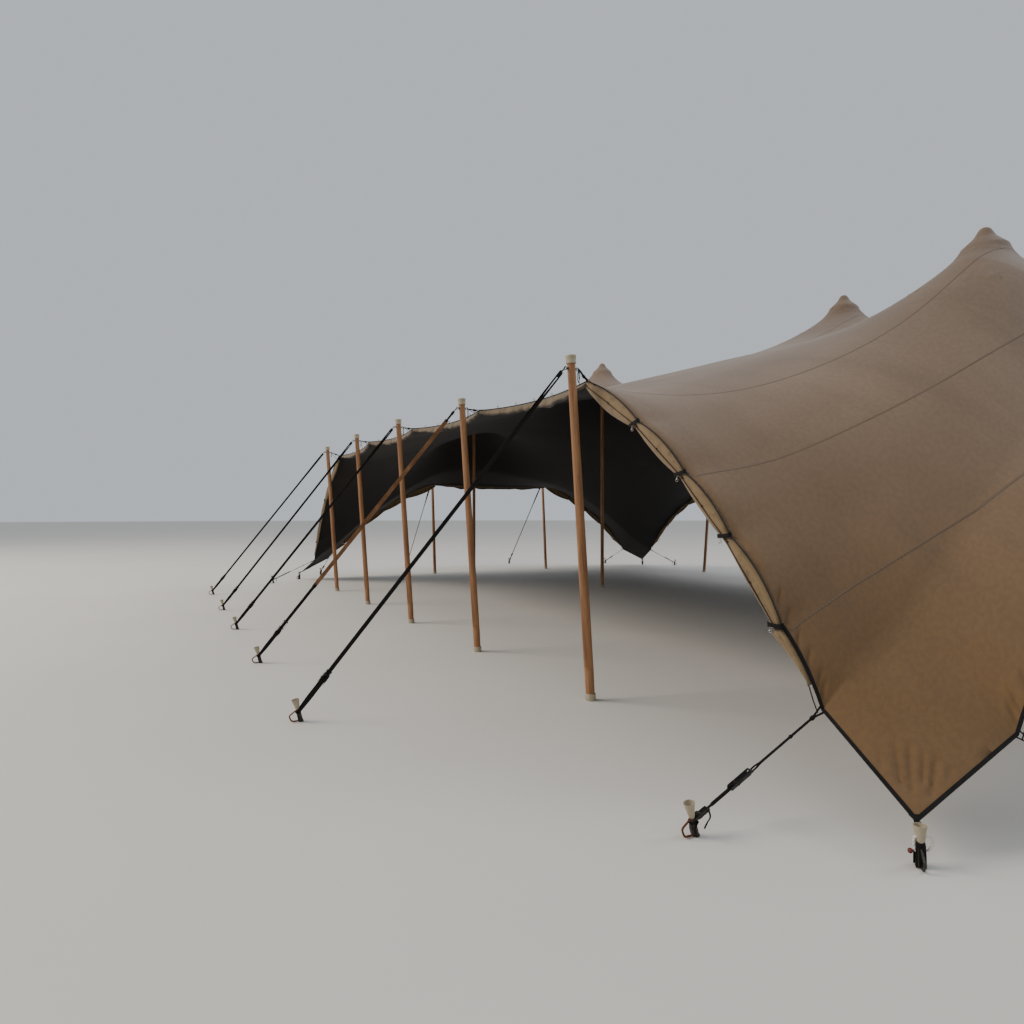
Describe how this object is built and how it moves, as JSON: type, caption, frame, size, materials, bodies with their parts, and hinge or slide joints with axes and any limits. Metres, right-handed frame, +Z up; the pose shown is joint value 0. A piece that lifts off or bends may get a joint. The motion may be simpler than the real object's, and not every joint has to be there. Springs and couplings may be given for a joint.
{
  "type": "stretch tent",
  "caption": "Open-sided stretch fabric tent with conical peaks on centre poles, leaning perimeter poles, arched entrances, ground corners and strap guys on stakes.",
  "frame": {"origin": "middle of the plan on the ground", "axes": "+X along the length towards the end that shows in the picture, -Y the high front side, +Z up"},
  "size_m": [20.3798, 15.0798, 4.945],
  "materials": {
    "cloth": "sand elastic knit with a woven-look coating, matte",
    "underside": "dark blackout backing, matte",
    "hem": "cream folded-back hem",
    "timber": "oiled round timber",
    "cap": "cream moulded cap",
    "webbing": "black polyester webbing",
    "tan_webbing": "tan polyester webbing",
    "rope": "white braided cord",
    "steel": "weathered zinc-plated steel"
  },
  "bodies": {
    "root": {"canopy_strip_1": "cloth", "canopy_strip_2": "cloth", "canopy_strip_3": "cloth", "canopy_strip_4": "cloth", "canopy_strip_5": "cloth", "canopy_strip_6": "cloth", "canopy_strip_7": "cloth", "canopy_strip_8": "cloth", "front_1_pole": "timber", "front_2_pole": "timber", "front_3_pole": "timber", "front_4_pole": "timber", "front_5_pole": "timber", "back_1_pole": "timber", "back_2_pole": "timber", "back_3_pole": "timber", "back_4_pole": "timber", "back_5_pole": "timber", "right_1_pole": "timber", "right_2_pole": "timber", "left_1_pole": "timber", "left_2_pole": "timber", "right_end_mast": "timber", "right_middle_mast": "timber", "left_middle_mast": "timber", "left_end_mast": "timber", "front_1_guy": "webbing", "front_2_guy": "webbing", "front_3_guy": "webbing", "front_4_guy": "webbing", "front_5_guy": "webbing", "back_1_guy": "webbing", "back_2_guy": "webbing", "back_3_guy": "webbing", "back_4_guy": "webbing", "back_5_guy": "webbing", "right_1_guy": "webbing", "right_2_guy": "webbing", "left_1_guy": "webbing", "left_2_guy": "webbing", "front_right_corner_stake": "steel", "front_left_corner_stake": "steel", "back_right_corner_stake": "steel", "back_left_corner_stake": "steel", "front_right_row_strap": "webbing", "front_right_end_strap": "webbing", "front_left_row_strap": "webbing", "front_left_end_strap": "webbing", "back_right_row_strap": "webbing", "back_right_end_strap": "webbing", "back_left_row_strap": "webbing", "back_left_end_strap": "webbing"}
  },
  "joints": []
}
